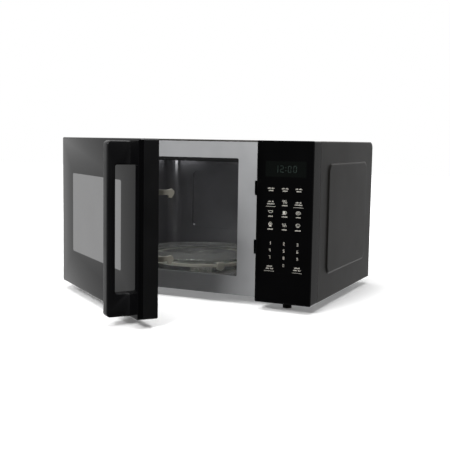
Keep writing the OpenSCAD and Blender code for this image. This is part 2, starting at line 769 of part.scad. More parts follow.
filter_x = half_w - 30;
module filter_board() {
    color("#b9a04c") placed() {
        plate_yz(rear_y - 84, rear_y - 34, base_top + 5, base_top + 74, filter_x, board_t, 1);
        for (y = [rear_y - 80, rear_y - 46]) plate_xy(filter_x, filter_x + 8, y, y + 8,
            base_top, 7);
    }
}
module filter_choke() {
    color("#a85a28") placed() translate([filter_x - 4.5, rear_y - 60, base_top + 54])
        rotate([0, 90, 0]) rotate_extrude() translate([11, 0]) circle(r = 4.5);
}
module fuse() {
    color("#d9dcda") placed() translate([filter_x + board_t + 3.4, rear_y - 60, base_top + 44]) {
        cylinder(d = 6, h = 20);
        for (z = [0, 16]) translate([0, 0, z]) cylinder(d = 6.8, h = 4);
    }
}
module cord_gland() {
    color("#111214") placed() difference() {
        union() {
            rod_y(gland_x, panel_y + sheet, gland_z, 20, 3);
            rod_y(gland_x, panel_y - 4, gland_z, gland_d, rear_y + gland_reach - panel_y + 4);
            rod_y(gland_x, panel_y - 4, gland_z, 18, 4);
        }
        rod_y(gland_x, panel_y - 5, gland_z, 7, 20);
    }
}

module cavity_lamp() {
    x = bay_x0;
    color("#d8d3c3") placed() {
        difference() {
            plate_yz(lamp_y - 17, lamp_y + 17, lamp_z - 17, lamp_z + 17, x, 46, 3);
            plate_yz(lamp_y - 16, lamp_y + 16, lamp_z - 16, lamp_z + 16, x - eps, 46, 2);
        }
        rod_x(x + 28, lamp_y, lamp_z, 13, 18);
        translate([x + 18, lamp_y, lamp_z]) sphere(d = 22);
    }
}
module thermal_cutouts() {
    color("#b98c5a") placed() {
        translate([fan_x, mag_y, mag_z + 37]) cylinder(d = 16, h = 9);
        translate([cav_x1 - 30, cav_y1 - 40, ceiling_z + sheet]) cylinder(d = 16, h = 9);
    }
}

// ---- Door interlock ----

lb_x0 = slot_x - 9;
lb_x1 = slot_x + 11;
lb_y0 = front_y + sheet;
lb_y1 = front_y + 60;
chan_x1 = slot_x + 7;
lever_y = hook_y1 + 2.2;
lever_drop = 11.5;
lever_pin_d = 3;
module latch_board() {
    color("#e4e0d2") placed() {
        difference() {
            plate_yz(lb_y0, lb_y1, slot_zs[0] - 24, slot_zs[1] + 24, lb_x0, lb_x1 - lb_x0, 3);
            for (z = slot_zs) {
                plate_yz(lb_y0 - eps, lever_y + 6, z - 16, z + 14, lb_x0 - eps, chan_x1 - lb_x0 + eps);
                plate_yz(lever_y + 8, lb_y1 - 4, z - 15, z + 15, lb_x0 - eps,
                    chan_x1 - lb_x0 - 1 + eps);
                plate_xz(slot_x - 7.5, slot_x + 5, z - 3, z + 3, lever_y + 5, 4);
            }
            plate_yz(lb_y0 + 5, lb_y1 - 4, slot_zs[0] + 19, slot_zs[1] - 19, lb_x0 - eps, 17);
        }
        for (z = slot_zs) rod_x(lb_x0 + 2, lever_y, z - lever_drop, lever_pin_d,
            chan_x1 - lb_x0);
    }
}
module interlock_switches() {
    color("#23252a") placed() for (p = [[slot_zs[1], [-7.5, 11]], [slot_zs[0], [-8, 6]],
            [slot_zs[0], [-1.2, 6]]]) {
        plate_yz(lever_y + 9, lb_y1 - 5, p[0] - 13.5, p[0] + 13.5, slot_x + p[1][0], p[1][1], 1);
        rod_y(slot_x + p[1][0] + p[1][1] / 2, lever_y + 7.5, p[0], 2.4, 3);
    }
}
// Lever that the tip of a hook pushes back onto the switch behind it
module interlock_lever(z) {
    color("#efece2") placed() difference() {
        union() {
            plate_yz(hook_y1 + 0.5, hook_y1 + 3.2, z - lever_drop, z + 9, slot_x - 4.2, 8.4, 1);
            rod_x(slot_x - 4.2, lever_y, z - lever_drop, 6, 8.4);
        }
        rod_x(slot_x - 6, lever_y, z - lever_drop, lever_pin_d + 2 * running_fit, 12);
    }
}
module upper_interlock_lever() { interlock_lever(slot_zs[1]); }
module lower_interlock_lever() { interlock_lever(slot_zs[0]); }

// ---- Door, drawn closed ----

handle_x = (handle_x0 + handle_x1) / 2;
handle_screw_zs = [base_z + handle_leg / 2, handle_top - handle_leg / 2];
handle_screw_d = 4;
panel_x0 = hinge_x + 14;
panel_x1 = slot_x - 10;
door_panel_y = cover_y0 + 7;

module handle_holes(y0, l, d) {
    for (z = handle_screw_zs) rod_y(handle_x, y0, z, d, l);
}
module door_glass() {
    color("#0a0b0c") on_door() difference() {
        plate_xz(door_x0, door_x1, base_z, top_z, 0, glass_t, 4);
        handle_holes(-eps, glass_t + 2 * eps, handle_screw_d + 0.4);
    }
}
module door_outer_frame() {
    color("#0c0d0e") on_door() difference() {
        plate_xz(door_x0, door_x1, base_z, top_z, glass_t, door_frame_t, 4);
        plate_xz(win_x0 - 6, win_x1 + 6, win_z0 - 6, win_z1 + 6, glass_t - eps,
            door_frame_t + 2 * eps, 8);
        handle_holes(0, 2 * cover_y0, handle_screw_d + 0.4);
    }
}
module door_panel() {
    z0 = base_z + 11;
    z1 = top_z - 11;
    wall_l = door_y1 - cover_wall - move_fit - door_panel_y;
    color("#4b4d50") on_door() difference() {
        plate_xz(panel_x0, panel_x1, z0, z1, door_panel_y, wall_l, 3);
        plate_xz(panel_x0 + sheet, panel_x1 - sheet, z0 + sheet, z1 - sheet,
            door_panel_y + sheet, wall_l, 2);
        plate_xz(win_x0, win_x1, win_z0, win_z1, door_panel_y - eps, 4, 6);
    }
}
module door_screen() {
    color("#6d7073") on_door()
        plate_xz(win_x0, win_x1, win_z0, win_z1, door_panel_y, 0.6, 6);
}
module door_inner_window() {
    color("#aab4b8", 0.4) on_door() plate_xz(win_x0 - 14, win_x1 + 14, win_z0 - 14,
        win_z1 + 14, door_y1 - cover_wall - 1.5, 1.5, 6);
}

// Solid column along the hinge edge, which takes the pins at its ends
module hinge_column(spare) {
    translate([hinge_x, hinge_y, base_z - spare])
        cylinder(r = hinge_r, h = case_h + 2 * spare);
}
module hinge_pocket(z0) {
    translate([door_x0 - eps, hinge_y - 9, z0])
        cube([hinge_inset + 30, door_y1 - hinge_y + 9 + eps, pocket_h + eps]);
}
module choke_cover() {
    w = cover_wall;
    t = door_y1 - cover_y0;
    rib = 2;
    color("#161718") on_door() difference() {
        union() {
            difference() {
                plate_xz(door_x0, door_x1, base_z, top_z, cover_y0, t, 4);
                plate_xz(door_x0 + w, door_x1 - w, base_z + w, top_z - w, cover_y0 - eps,
                    t - w + eps, 2);
            }
            intersection() {
                plate_xz(door_x0, door_x1, base_z, top_z, cover_y0, t, 4);
                hinge_column(0);
            }
            for (s = [-1, 1])
                plate_yz(latch_bar_y0 + 2, door_y1 - w + eps, slot_zs[0] + 16, slot_zs[1] - 16,
                    slot_x + s * (hook_t / 2 + 0.4 + rib / 2) - rib / 2, rib);
        }
        plate_xz(win_x0 - 6, win_x1 + 6, win_z0 - 6, win_z1 + 6, door_y1 - 2 * w, 3 * w, 8);
        for (z = slot_zs) plate_xz(slot_x - hook_t / 2 - 1, slot_x + hook_t / 2 + 1,
            z - 9, z + 7.5 + latch_lift, door_y1 - 2 * w, 3 * w, 1);
        difference() {
            translate([door_x0 - eps, hinge_y, base_z - eps])
                cube([hinge_x - door_x0 + eps, 20, case_h + 2 * eps]);
            hinge_column(2 * eps);
        }
        hinge_pocket(base_z - eps);
        hinge_pocket(top_z - pocket_h);
        for (z = [base_z + pocket_h - eps, top_z - pocket_h - boss_h + eps])
            translate([hinge_x, hinge_y, z])
                cylinder(d = hinge_pin_d + 2 * running_fit, h = boss_h);
    }
}

module door_handle() {
    h = handle_top - base_z;
    color("#0d0e0f") on_door() difference() {
        translate([handle_x0, 0, base_z]) rotate([90, 0, 90]) linear_extrude(handle_w)
            difference() {
                union() {
                    translate([-handle_reach, 0]) rounded(handle_reach, h, 7);
                    translate([-10, 0]) square([10, h]);
                }
                translate([grip_t - handle_reach, handle_leg])
                    rounded(handle_reach + 10, h - 2 * handle_leg, 6);
            }
        handle_holes(-16, 16 + eps, handle_screw_d);
    }
}
module handle_screws() {
    color("#7c7f82") on_door() for (z = handle_screw_zs)
        screw_y(handle_x, cover_y0, z, handle_screw_d, cover_y0 + 16);
}

// Bar inside the door with a hook at each latch slot
module door_latch() {
    x = slot_x - hook_t / 2;
    tip = hook_y1 - latch_bar_y1;
    color("#d8d2c0") on_door() {
        plate_yz(latch_bar_y0, latch_bar_y1 + eps, slot_zs[0] - 12, slot_zs[1] + 12, x, hook_t, 2);
        for (z = slot_zs) translate([x, latch_bar_y1, z]) rotate([90, 0, 90])
            linear_extrude(hook_t) polygon([[0, -3], [tip - 10, -3], [tip - 9, -7.5],
                [tip - 4, -7.5], [tip, -1], [tip, 3], [tip - 4, 6.5], [tip - 11, 5], [0, 5]]);
    }
}
// Tight-wound extension spring, one ring for each turn
spring_r = 3;
spring_wire = 1.4;
spring_turns = 16;
spring_pitch = 0.92 * spring_wire;
module latch_spring() {
    top = slot_zs[0] - 12 - move_fit;
    color("#b8bbbe") on_door() for (i = [0:spring_turns - 1])
        translate([slot_x, (latch_bar_y0 + latch_bar_y1) / 2,
            top - spring_wire / 2 - i * spring_pitch])
            rotate_extrude() translate([spring_r, 0]) circle(d = spring_wire);
}

outer_wrap();
base_plate();
rear_panel();
case_screws();
feet();
front_frame();
upper_hinge();
lower_hinge();
cavity_liner();
waveguide();
waveguide_cover();
control_fascia();
keypad_overlay();
display_window();
control_board();
display_module();
board_transformer();
relays();
magnetron_frame();
magnetron_anode();
magnetron_magnets();
magnetron_antenna();
magnetron_filter_box();
air_duct();
transformer_core();
transformer_windings();
capacitor();
capacitor_clamp();
diode();
filter_board();
filter_choke();
fuse();
cord_gland();
fan_shroud();
fan_motor();
fan_rotor();
fan_blade();
cavity_lamp();
thermal_cutouts();
latch_board();
interlock_switches();
upper_interlock_lever();
lower_interlock_lever();
turntable_motor();
turntable_coupler();
glass_tray();
roller_ring();
roller_1();
roller_2();
roller_3();
door_glass();
door_outer_frame();
door_panel();
door_screen();
door_inner_window();
choke_cover();
door_handle();
handle_screws();
door_latch();
latch_spring();
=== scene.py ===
import json
import math

import bmesh
import bpy
from mathutils import Matrix, Vector
from mathutils.geometry import tessellate_polygon


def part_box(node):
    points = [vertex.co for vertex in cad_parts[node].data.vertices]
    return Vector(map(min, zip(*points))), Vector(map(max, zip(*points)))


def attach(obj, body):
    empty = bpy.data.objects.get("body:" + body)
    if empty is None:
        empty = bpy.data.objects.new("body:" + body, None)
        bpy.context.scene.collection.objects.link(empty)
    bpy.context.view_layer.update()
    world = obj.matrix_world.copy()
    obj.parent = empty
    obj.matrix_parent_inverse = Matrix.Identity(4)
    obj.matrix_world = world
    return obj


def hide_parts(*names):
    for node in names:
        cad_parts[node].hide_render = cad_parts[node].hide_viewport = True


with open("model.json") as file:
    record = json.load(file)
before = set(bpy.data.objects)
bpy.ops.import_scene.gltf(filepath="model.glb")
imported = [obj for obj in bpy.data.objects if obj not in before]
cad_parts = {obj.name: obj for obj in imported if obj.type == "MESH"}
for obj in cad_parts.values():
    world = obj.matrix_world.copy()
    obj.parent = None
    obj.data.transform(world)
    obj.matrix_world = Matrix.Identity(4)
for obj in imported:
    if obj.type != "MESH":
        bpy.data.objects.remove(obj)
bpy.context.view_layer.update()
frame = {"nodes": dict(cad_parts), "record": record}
NODES = frame["nodes"]
MM = 0.001

# ---- Places taken from the frame ----


def node_box(name):
    """Lowest and highest corner of a CAD node at rest."""
    low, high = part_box(name)
    return Vector(low), Vector(high)


WRAP0, WRAP1 = node_box("outer_wrap")
FASCIA0, FASCIA1 = node_box("control_fascia")
LINER0, LINER1 = node_box("cavity_liner")
JOINTS = {j["name"]: j for j in frame["record"]["behaviour"]["joints"]}
HINGE = Vector(JOINTS["door_hinge"]["pos_m"])
DOOR_ANGLE = math.radians(-JOINTS["door_hinge"]["range_deg"][0])
# Moves a door piece from its shut place to where it stands open
OPEN_DOOR = (Matrix.Translation(HINGE) @ Matrix.Rotation(-DOOR_ANGLE, 4, "Z")
             @ Matrix.Translation(-HINGE))


def shut_box(name):
    """Box of a door node as it is when the door is shut."""
    shut = OPEN_DOOR.inverted()
    points = [shut @ v.co for v in NODES[name].data.vertices]
    low = Vector([min(p[i] for p in points) for i in range(3)])
    high = Vector([max(p[i] for p in points) for i in range(3)])
    return low, high


# ---- Materials ----


def new_material(name, color, rough, metal=0.0, specular=0.5, coat=0.0):
    """A Principled material; returns it with its tree and shader."""
    mat = bpy.data.materials.new(name)
    mat.use_nodes = True
    tree = mat.node_tree
    shader = tree.nodes["Principled BSDF"]
    shader.inputs["Base Color"].default_value = (*color, 1)
    shader.inputs["Roughness"].default_value = rough
    shader.inputs["Metallic"].default_value = metal
    shader.inputs["Specular IOR Level"].default_value = specular
    shader.inputs["Coat Weight"].default_value = coat
    return mat, tree, shader


def add_noise(tree, scale, detail=4.0, stretch=(1, 1, 1), rough=0.55):
    """A noise texture on the object's own coordinates, scaled in features per metre."""
    coords = tree.nodes.new("ShaderNodeTexCoord")
    mapping = tree.nodes.new("ShaderNodeMapping")
    mapping.inputs["Scale"].default_value = stretch
    noise = tree.nodes.new("ShaderNodeTexNoise")
    noise.inputs["Scale"].default_value = scale
    noise.inputs["Detail"].default_value = detail
    noise.inputs["Roughness"].default_value = rough
    tree.links.new(coords.outputs["Object"], mapping.inputs["Vector"])
    tree.links.new(mapping.outputs["Vector"], noise.inputs["Vector"])
    return noise.outputs["Fac"]


def add_range(tree, value, low, high, from_low=0.3, from_high=0.7):
    """Maps a 0..1 texture to a range."""
    node = tree.nodes.new("ShaderNodeMapRange")
    node.inputs["From Min"].default_value = from_low
    node.inputs["From Max"].default_value = from_high
    node.inputs["To Min"].default_value = low
    node.inputs["To Max"].default_value = high
    tree.links.new(value, node.inputs["Value"])
    return node.outputs["Result"]


def add_mix(tree, factor, first, second):
    """Mixes two colours by a factor."""
    node = tree.nodes.new("ShaderNodeMix")
    node.data_type = "RGBA"
    tree.links.new(factor, node.inputs["Factor"])
    for socket, color in ((node.inputs["A"], first), (node.inputs["B"], second)):
        if isinstance(color, tuple):
            socket.default_value = (*color, 1)
        else:
            tree.links.new(color, socket)
    return node.outputs["Result"]


def add_bump(tree, shader, height, strength, distance):
    """Bump from a height texture."""
    node = tree.nodes.new("ShaderNodeBump")
    node.inputs["Strength"].default_value = strength
    node.inputs["Distance"].default_value = distance
    tree.links.new(height, node.inputs["Height"])
    tree.links.new(node.outputs["Normal"], shader.inputs["Normal"])
    return node


def surface(name, color, rough, metal=0.0, specular=0.5, coat=0.0, shade=0.12,
            blotch=14.0, grain=500.0, bump=0.1, depth=0.0002, wander=0.06, stretch=(1, 1, 1)):
    """The general finish: slow colour drift, uneven roughness and a fine grain."""
    mat, tree, shader = new_material(name, color, rough, metal, specular, coat)
    slow = add_noise(tree, blotch, 3.0)
    dark = tuple(c * (1 - shade) for c in color)
    light = tuple(min(1.0, c * (1 + shade)) for c in color)
    drift = add_range(tree, slow, 0.0, 1.0)
    tree.links.new(add_mix(tree, drift, dark, light), shader.inputs["Base Color"])
    fine = add_noise(tree, grain, 3.0, stretch)
    both = tree.nodes.new("ShaderNodeMath")
    both.operation = "ADD"
    tree.links.new(add_range(tree, slow, rough - wander, rough + wander), both.inputs[0])
    tree.links.new(add_range(tree, fine, -wander / 3, wander / 3), both.inputs[1])
    tree.links.new(both.outputs[0], shader.inputs["Roughness"])
    add_bump(tree, shader, fine, bump, depth)
    return mat


def glass_material(name, color, rough, ior=1.5, clear=1.0):
    """Clear or tinted glass with faint smears in its gloss."""
    mat, tree, shader = new_material(name, color, rough)
    shader.inputs["Transmission Weight"].default_value = clear
    shader.inputs["IOR"].default_value = ior
    smear = add_noise(tree, 30.0, 4.0)
    tree.links.new(add_range(tree, smear, rough, rough + 0.05), shader.inputs["Roughness"])
    return mat


MATS = {
    "case_paint": surface("case_paint", (0.028, 0.0255, 0.021), 0.36, specular=0.4, grain=900,
                          bump=0.12, depth=0.00008, shade=0.05, wander=0.02),
    "zinc_steel": surface("zinc_steel", (0.60, 0.61, 0.62), 0.34, metal=1.0, grain=260,
                          shade=0.08),
    "screw_steel": surface("screw_steel", (0.32, 0.32, 0.33), 0.32, metal=1.0, shade=0.15),
    "foot_rubber": surface("foot_rubber", (0.012, 0.012, 0.012), 0.7, specular=0.3, bump=0.3),
    "frame_steel": surface("frame_steel", (0.46, 0.465, 0.475), 0.33, metal=0.35, shade=0.05,
                           grain=1400, bump=0.05, depth=0.00005, wander=0.04),
    "cavity_enamel": surface("cavity_enamel", (0.19, 0.19, 0.20), 0.17, metal=0.6,
                             shade=0.05, grain=700, bump=0.04, depth=0.0001, wander=0.03),
    "mica": surface("mica", (0.45, 0.38, 0.25), 0.5, shade=0.25, blotch=60),
    "gloss_black": surface("gloss_black", (0.003, 0.003, 0.0033), 0.09, specular=0.45,
                           grain=60, bump=0.015, depth=0.0002, wander=0.03),
    "panel_face": surface("panel_face", (0.0016, 0.0016, 0.0018), 0.12, specular=0.16,
                          grain=60, bump=0.01, depth=0.0002, wander=0.03),
    "display_lens": surface("display_lens", (0.0026, 0.0034, 0.0030), 0.06, specular=0.3,
                            grain=60, bump=0.0, wander=0.02),
    "display_block": surface("display_block", (0.03, 0.12, 0.08), 0.5),
    "circuit_board": surface("circuit_board", (0.02, 0.16, 0.06), 0.4, coat=0.3),
    "winding_tape": surface("winding_tape", (0.35, 0.22, 0.08), 0.5),
    "relay_plastic": surface("relay_plastic", (0.02, 0.022, 0.03), 0.4),
    "copper": surface("copper", (0.60, 0.32, 0.18), 0.34, metal=1.0),
    "ferrite": surface("ferrite", (0.04, 0.04, 0.042), 0.6),
    "ceramic": surface("ceramic", (0.62, 0.57, 0.48), 0.3),
    "black_plastic": surface("black_plastic", (0.006, 0.006, 0.0065), 0.36, specular=0.3, grain=1200),
    "laminations": surface("laminations", (0.12, 0.12, 0.13), 0.45, metal=0.8,
                           stretch=(1, 1, 12)),
    "copper_wire": surface("copper_wire", (0.42, 0.16, 0.06), 0.35, metal=0.6, grain=900,
                           stretch=(1, 1, 6), bump=0.4),
    "can_aluminium": surface("can_aluminium", (0.70, 0.71, 0.72), 0.3, metal=1.0),
    "fuse_glass": glass_material("fuse_glass", (0.9, 0.92, 0.91), 0.02),
    "lamp_glass": surface("lamp_glass", (0.75, 0.72, 0.62), 0.35),
    "white_plastic": surface("white_plastic", (0.62, 0.60, 0.54), 0.42, shade=0.06),
    "clear_glass": glass_material("clear_glass", (0.93, 0.95, 0.91), 0.02, clear=0.93),
    "black_glass": surface("black_glass", (0.003, 0.003, 0.0034), 0.035, specular=0.15, grain=40,
                           bump=0.008, depth=0.0003, wander=0.015),
    "window_glass": surface("window_glass", (0.33, 0.33, 0.333), 0.12, metal=0.9, shade=0.03,
                            grain=40, bump=0.008, depth=0.0003, wander=0.012),
    "clock_print": surface("clock_print", (0.006, 0.016, 0.012), 0.3),
    "door_steel": surface("door_steel", (0.03, 0.03, 0.032), 0.4),
    "screen_steel": surface("screen_steel", (0.16, 0.165, 0.17), 0.4, metal=0.3),
    "clear_sheet": glass_material("clear_sheet", (0.86, 0.87, 0.88), 0.05, 1.45),
    "textured_black": surface("textured_black", (0.006, 0.006, 0.0064), 0.42, specular=0.35,
                              grain=1300, bump=0.55, depth=0.0004),
    "latch_plastic": surface("latch_plastic", (0.23, 0.22, 0.185), 0.42, shade=0.08),
}

# ---- The CAD nodes that show get their finish and softened edges ----

for part in frame["record"]["subparts"]:
    piece = NODES[part["node"]]
    for material_slot in piece.material_slots:
        material_slot.material = MATS[part["material_slot"]]

EDGE_WIDTHS = {
    "base_plate": 0.3, "rear_panel": 0.3, "case_screws": 0.5, "feet": 0.9, "front_frame": 0.35,
    "upper_hinge": 0.4, "lower_hinge": 0.4, "cavity_liner": 0.8, "control_fascia": 1.2,
    "keypad_overlay": 0.2, "cord_gland": 0.7, "latch_board": 0.5, "turntable_coupler": 0.6,
    "roller_ring": 0.7, "roller_1": 0.9, "roller_2": 0.9, "roller_3": 0.9,
    "door_glass": 0.9, "door_outer_frame": 0.8, "choke_cover": 1.0, "door_handle": 1.6,
    "door_latch": 0.6, "upper_interlock_lever": 0.4, "lower_interlock_lever": 0.4,
}


def soften(piece, width, segments=3, angle=40):
    """Rounds the sharp edges of a piece by a width in millimetres."""
    bevel = piece.modifiers.new("soft_edges", "BEVEL")
    bevel.width = width * MM
    bevel.segments = segments
    bevel.limit_method = "ANGLE"
    bevel.angle_limit = math.radians(angle)
    bevel.harden_normals = True
    bevel.use_clamp_overlap = True


for node_name, edge_width in EDGE_WIDTHS.items():
    soften(NODES[node_name], edge_width)

# ---- Mesh helpers ----


def rounded_rect(a0, a1, b0, b1, radius, steps=8):
    """Points of a rounded rectangle, anticlockwise from its low right corner."""
    points = []
    for ca, cb, start in ((a1 - radius, b0 + radius, -90), (a1 - radius, b1 - radius, 0),
                          (a0 + radius, b1 - radius, 90), (a0 + radius, b0 + radius, 180)):
        for i in range(steps + 1):
            turn = math.radians(start + 90 * i / steps)
            points.append((ca + radius * math.cos(turn), cb + radius * math.sin(turn)))
    return points


class Shape:
    """Vertices and faces of one piece, gathered in the frame's metres."""

    def __init__(self):
        self.verts = []
        self.faces = []
        self.material = []

    def loop(self, points):
        """Adds points and returns their numbers."""
        first = len(self.verts)
        self.verts.extend(tuple(p) for p in points)
        return list(range(first, len(self.verts)))

    def face(self, corners, material=0):
        self.faces.append(corners)
        self.material.append(material)

    def join(self, first, second, closed=True, material=0):
        """Quads between two loops of the same length."""
        count = len(first)
        for i in range(count if closed else count - 1):
            j = (i + 1) % count
            self.face((first[i], first[j], second[j], second[i]), material)

    def loft(self, loops, closed=True, material=0):
        """Quads through a list of loops of points; returns the first and last loop."""
        numbered = [self.loop(points) for points in loops]
        for first, second in zip(numbered, numbered[1:]):
            self.join(first, second, closed, material)
        return numbered[0], numbered[-1]

    def fill(self, outer, holes=(), flip=False, material=0):
        """Fills a flat loop that may have holes."""
        rings = [outer, *holes]
        order = [i for ring in rings for i in ring]
        points = [[Vector(self.verts[i]) for i in ring] for ring in rings]
        for tri in tessellate_polygon(points):
            corners = tuple(order[i] for i in tri)
            self.face(corners[::-1] if flip else corners, material)

    def piece(self, name, slots, body, replaced=(), smooth_angle=35, place=None,
              slot=None):
        """Makes the object, which rides on a body and stands for CAD nodes."""
        mesh = bpy.data.meshes.new(name)
        mesh.from_pydata(self.verts, [], self.faces)
        for slot_name in slots:
            mesh.materials.append(MATS[slot_name])
        mesh.polygons.foreach_set("material_index", self.material)
        if place is not None:
            mesh.transform(place)
        builder = bmesh.new()
        builder.from_mesh(mesh)
        bmesh.ops.remove_doubles(builder, verts=builder.verts, dist=1e-6)
        bmesh.ops.recalc_face_normals(builder, faces=builder.faces)
        builder.to_mesh(mesh)
        builder.free()
        mesh.polygons.foreach_set("use_smooth", [True] * len(mesh.polygons))
        mesh.set_sharp_from_angle(angle=math.radians(smooth_angle))
        mesh.update()
        item = bpy.data.objects.new(name, mesh)
        bpy.context.scene.collection.objects.link(item)
        if replaced:
            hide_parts(*replaced)
        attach(item, body)
        return item


def arc(count, start=0.0, end=90.0):
    """Cosine and sine at even steps over an arc, in degrees."""
    turns = [math.radians(start + (end - start) * i / count) for i in range(count + 1)]
    return [(math.cos(t), math.sin(t)) for t in turns]


def smooth_step(value):
    """0 to 1 with level ends."""
    value = min(1.0, max(0.0, value))
    return value * value * (3 - 2 * value)


def spread(marks):
    """Values between marks: each mark is (value, number of steps up to it)."""
    values = [marks[0][0]]
    for value, steps in marks[1:]:
        start = values[-1]
        values.extend(start + (value - start) * (i + 1) / steps for i in range(steps))
    return values


# ---- Folded cover of the case ----

FIELD_Y = (WRAP0.y + 46.7 * MM, WRAP1.y - 45.3 * MM)
FIELD_Z = (WRAP0.z + 43.5 * MM, WRAP1.z - 39 * MM)
FIELD_RADIUS = 16 * MM
FIELD_DEPTH = 2 * MM
FIELD_SLOPE = 4 * MM


def field_rise(y, z):
    """How far a side wall stands out at a point: all of it in the field, none around it."""
    dy = max(FIELD_Y[0] + FIELD_RADIUS - y, y - FIELD_Y[1] + FIELD_RADIUS, 0)
    dz = max(FIELD_Z[0] + FIELD_RADIUS - z, z - FIELD_Z[1] + FIELD_RADIUS, 0)
    outside = math.hypot(dy, dz) - FIELD_RADIUS
    return FIELD_DEPTH * smooth_step(-outside / FIELD_SLOPE)


def make_outer_wrap():
    """One folded sheet over both sides and the top, with a soft raised field on each side."""
    x0, x1, y0, y1 = WRAP0.x, WRAP1.x, WRAP0.y, WRAP1.y
    z0, top = WRAP0.z, WRAP1.z
    edge, rear_edge, lip, rear_lip, back_bend = (v * MM for v in (2.6, 1.6, 3.0, 14.0, 14.0))
    sheet = 1.0 * MM
    slope = FIELD_SLOPE
    heights = spread([(z0 + 0.3 * MM, 0), (FIELD_Z[0] - MM, 6), (FIELD_Z[0] + slope + MM, 6),
                      (FIELD_Z[0] + FIELD_RADIUS + MM, 6), (FIELD_Z[1] - FIELD_RADIUS - MM, 12),
                      (FIELD_Z[1] - slope - MM, 6), (FIELD_Z[1] + MM, 6),
                      (top - edge, 6)])
    depths = spread([(y0 + rear_edge, 0), (FIELD_Y[0] - MM, 8),
                     (FIELD_Y[0] + slope + MM, 6), (FIELD_Y[0] + FIELD_RADIUS + MM, 6),
                     (FIELD_Y[1] - FIELD_RADIUS - MM, 14), (FIELD_Y[1] - slope - MM, 6),
                     (FIELD_Y[1] + MM, 6), (y1 - back_bend, 8)])

    def profile(y, inset, drop, raised=True):
        """The cover's outline across the case: up one side, over the top, down the other."""
        points = []
        high = top - drop
        squeeze = (high - inset - edge - z0) / (top - edge - z0)
        for side in (-1, 1):
            wall = x0 + FIELD_DEPTH + inset if side < 0 else x1 - FIELD_DEPTH - inset
            column = [(wall - side * sheet, z0 + 8 * MM), (wall - side * sheet, z0 + 0.3 * MM),
                      (wall - side * 0.7 * sheet, z0), (wall - side * 0.3 * sheet, z0)]
            for z in heights:
                rise = field_rise(y, z) if raised else 0
                column.append((wall + side * rise, z0 + (z - z0) * squeeze))
            column.extend((wall - side * edge * (1 - c), high - edge + edge * s - inset)
                          for c, s in arc(5))
            if side < 0:
                points.extend(column)
                left = wall
            else:
                for i in range(1, 12):
                    points.append((left + edge + (wall - left - 2 * edge) * i / 12,
                                   high - inset))
                points.extend(reversed(column))
        return [(x, y, z) for x, z in points]

    loops = [profile(y0 + 1.2 * MM, lip, 0, False), profile(y0, lip, 0, False)]
    loops += [profile(y0 + rear_edge * (1 - c), rear_edge * (1 - s), 0, False)
              for c, s in arc(4)[:-1]]
    loops += [profile(y, 0, 0) for y in depths]
    for c, s in arc(8)[1:]:
        y = y1 - back_bend + back_bend * s
        inset = max(0.0, y - (y1 - rear_edge))
        if inset < rear_edge * 0.98:
            loops.append(profile(y, rear_edge - math.sqrt(rear_edge ** 2 - inset ** 2),
                                 back_bend * (1 - c), False))
    loops.append(profile(y1, rear_edge, back_bend * 0.93, False))
    loops.append(profile(y1, rear_lip, back_bend * 0.93, False))
    shape = Shape()
    shape.loft(loops, closed=False)
    return shape.piece("case_cover", ["case_paint"], "root", ["outer_wrap"], 40)


make_outer_wrap()

# ---- Glass tray ----

TRAY0, TRAY1 = node_box("glass_tray")
TURN = Vector(JOINTS["turntable_spin"]["pos_m"])
COUPLER_ARM = 24 * MM


def make_glass_tray():
    """The pressed glass tray: raised rim, sloped side, rings in its floor and drive lugs."""
    radius = (TRAY1.x - TRAY0.x) / 2
    under = TRAY1.z - 9 * MM
    glass = 4 * MM
    upper = [(0, glass + 0.7 * MM), (14 * MM, glass + 0.7 * MM), (17 * MM, glass), (33 * MM, glass),
             (35 * MM, glass + 0.5 * MM), (37 * MM, glass), (radius - 17 * MM, glass),
             (radius - 14 * MM, glass + 0.7 * MM), (radius - 5.5 * MM, 6.9 * MM),
             (radius - 3.2 * MM, 8.4 * MM)]
    lower = [(radius - 2.2 * MM, 4.6 * MM), (radius - 13 * MM, 0.7 * MM), (radius - 16 * MM, 0),
             (radius - 40 * MM, 0), (radius - 41 * MM, 0.35 * MM), (radius - 42 * MM, 0), (0, 0)]
    bead = [(radius - 1.6 * MM + 1.6 * MM * c, 7.4 * MM + 1.6 * MM * s)
            for c, s in arc(10, 110, -60)]
    outline = upper + bead + lower
    count = 120
    shape = Shape()
    rings = []
    for r, z in outline:
        if r == 0:
            rings.append(shape.loop([(TURN.x, TURN.y, under + z)]))
            continue
        rings.append(shape.loop([(TURN.x + r * math.cos(2 * math.pi * i / count),
                                  TURN.y + r * math.sin(2 * math.pi * i / count), under + z)
                                 for i in range(count)]))
    for first, second in zip(rings, rings[1:]):
        if len(first) == 1 or len(second) == 1:
            centre, ring = (first[0], second) if len(first) == 1 else (second[0], first)
            for i in range(count):
                shape.face((centre, ring[i], ring[(i + 1) % count]))
        else:
            shape.join(first, second)
    for a in (0, 120, 240):
        for b in (-35, 35):
            turn = math.radians(a + b)
            reach = COUPLER_ARM - 4 * MM
            cx, cy = TURN.x + reach * math.cos(turn), TURN.y + reach * math.sin(turn)
            lug = [(3.5, 0.2), (3.5, -4.2), (2.7, -5.0)]
            last = shape.loft([[(cx + r * MM * c, cy + r * MM * s, under + z * MM)
                                for c, s in arc(18, 0, 340)] for r, z in lug])[1]
            shape.fill(last)
    return shape.piece("tray_glass", ["clear_glass"], "tray", ["glass_tray"], 50)


# ---- Door handle ----

HANDLE0, HANDLE1 = shut_box("door_handle")


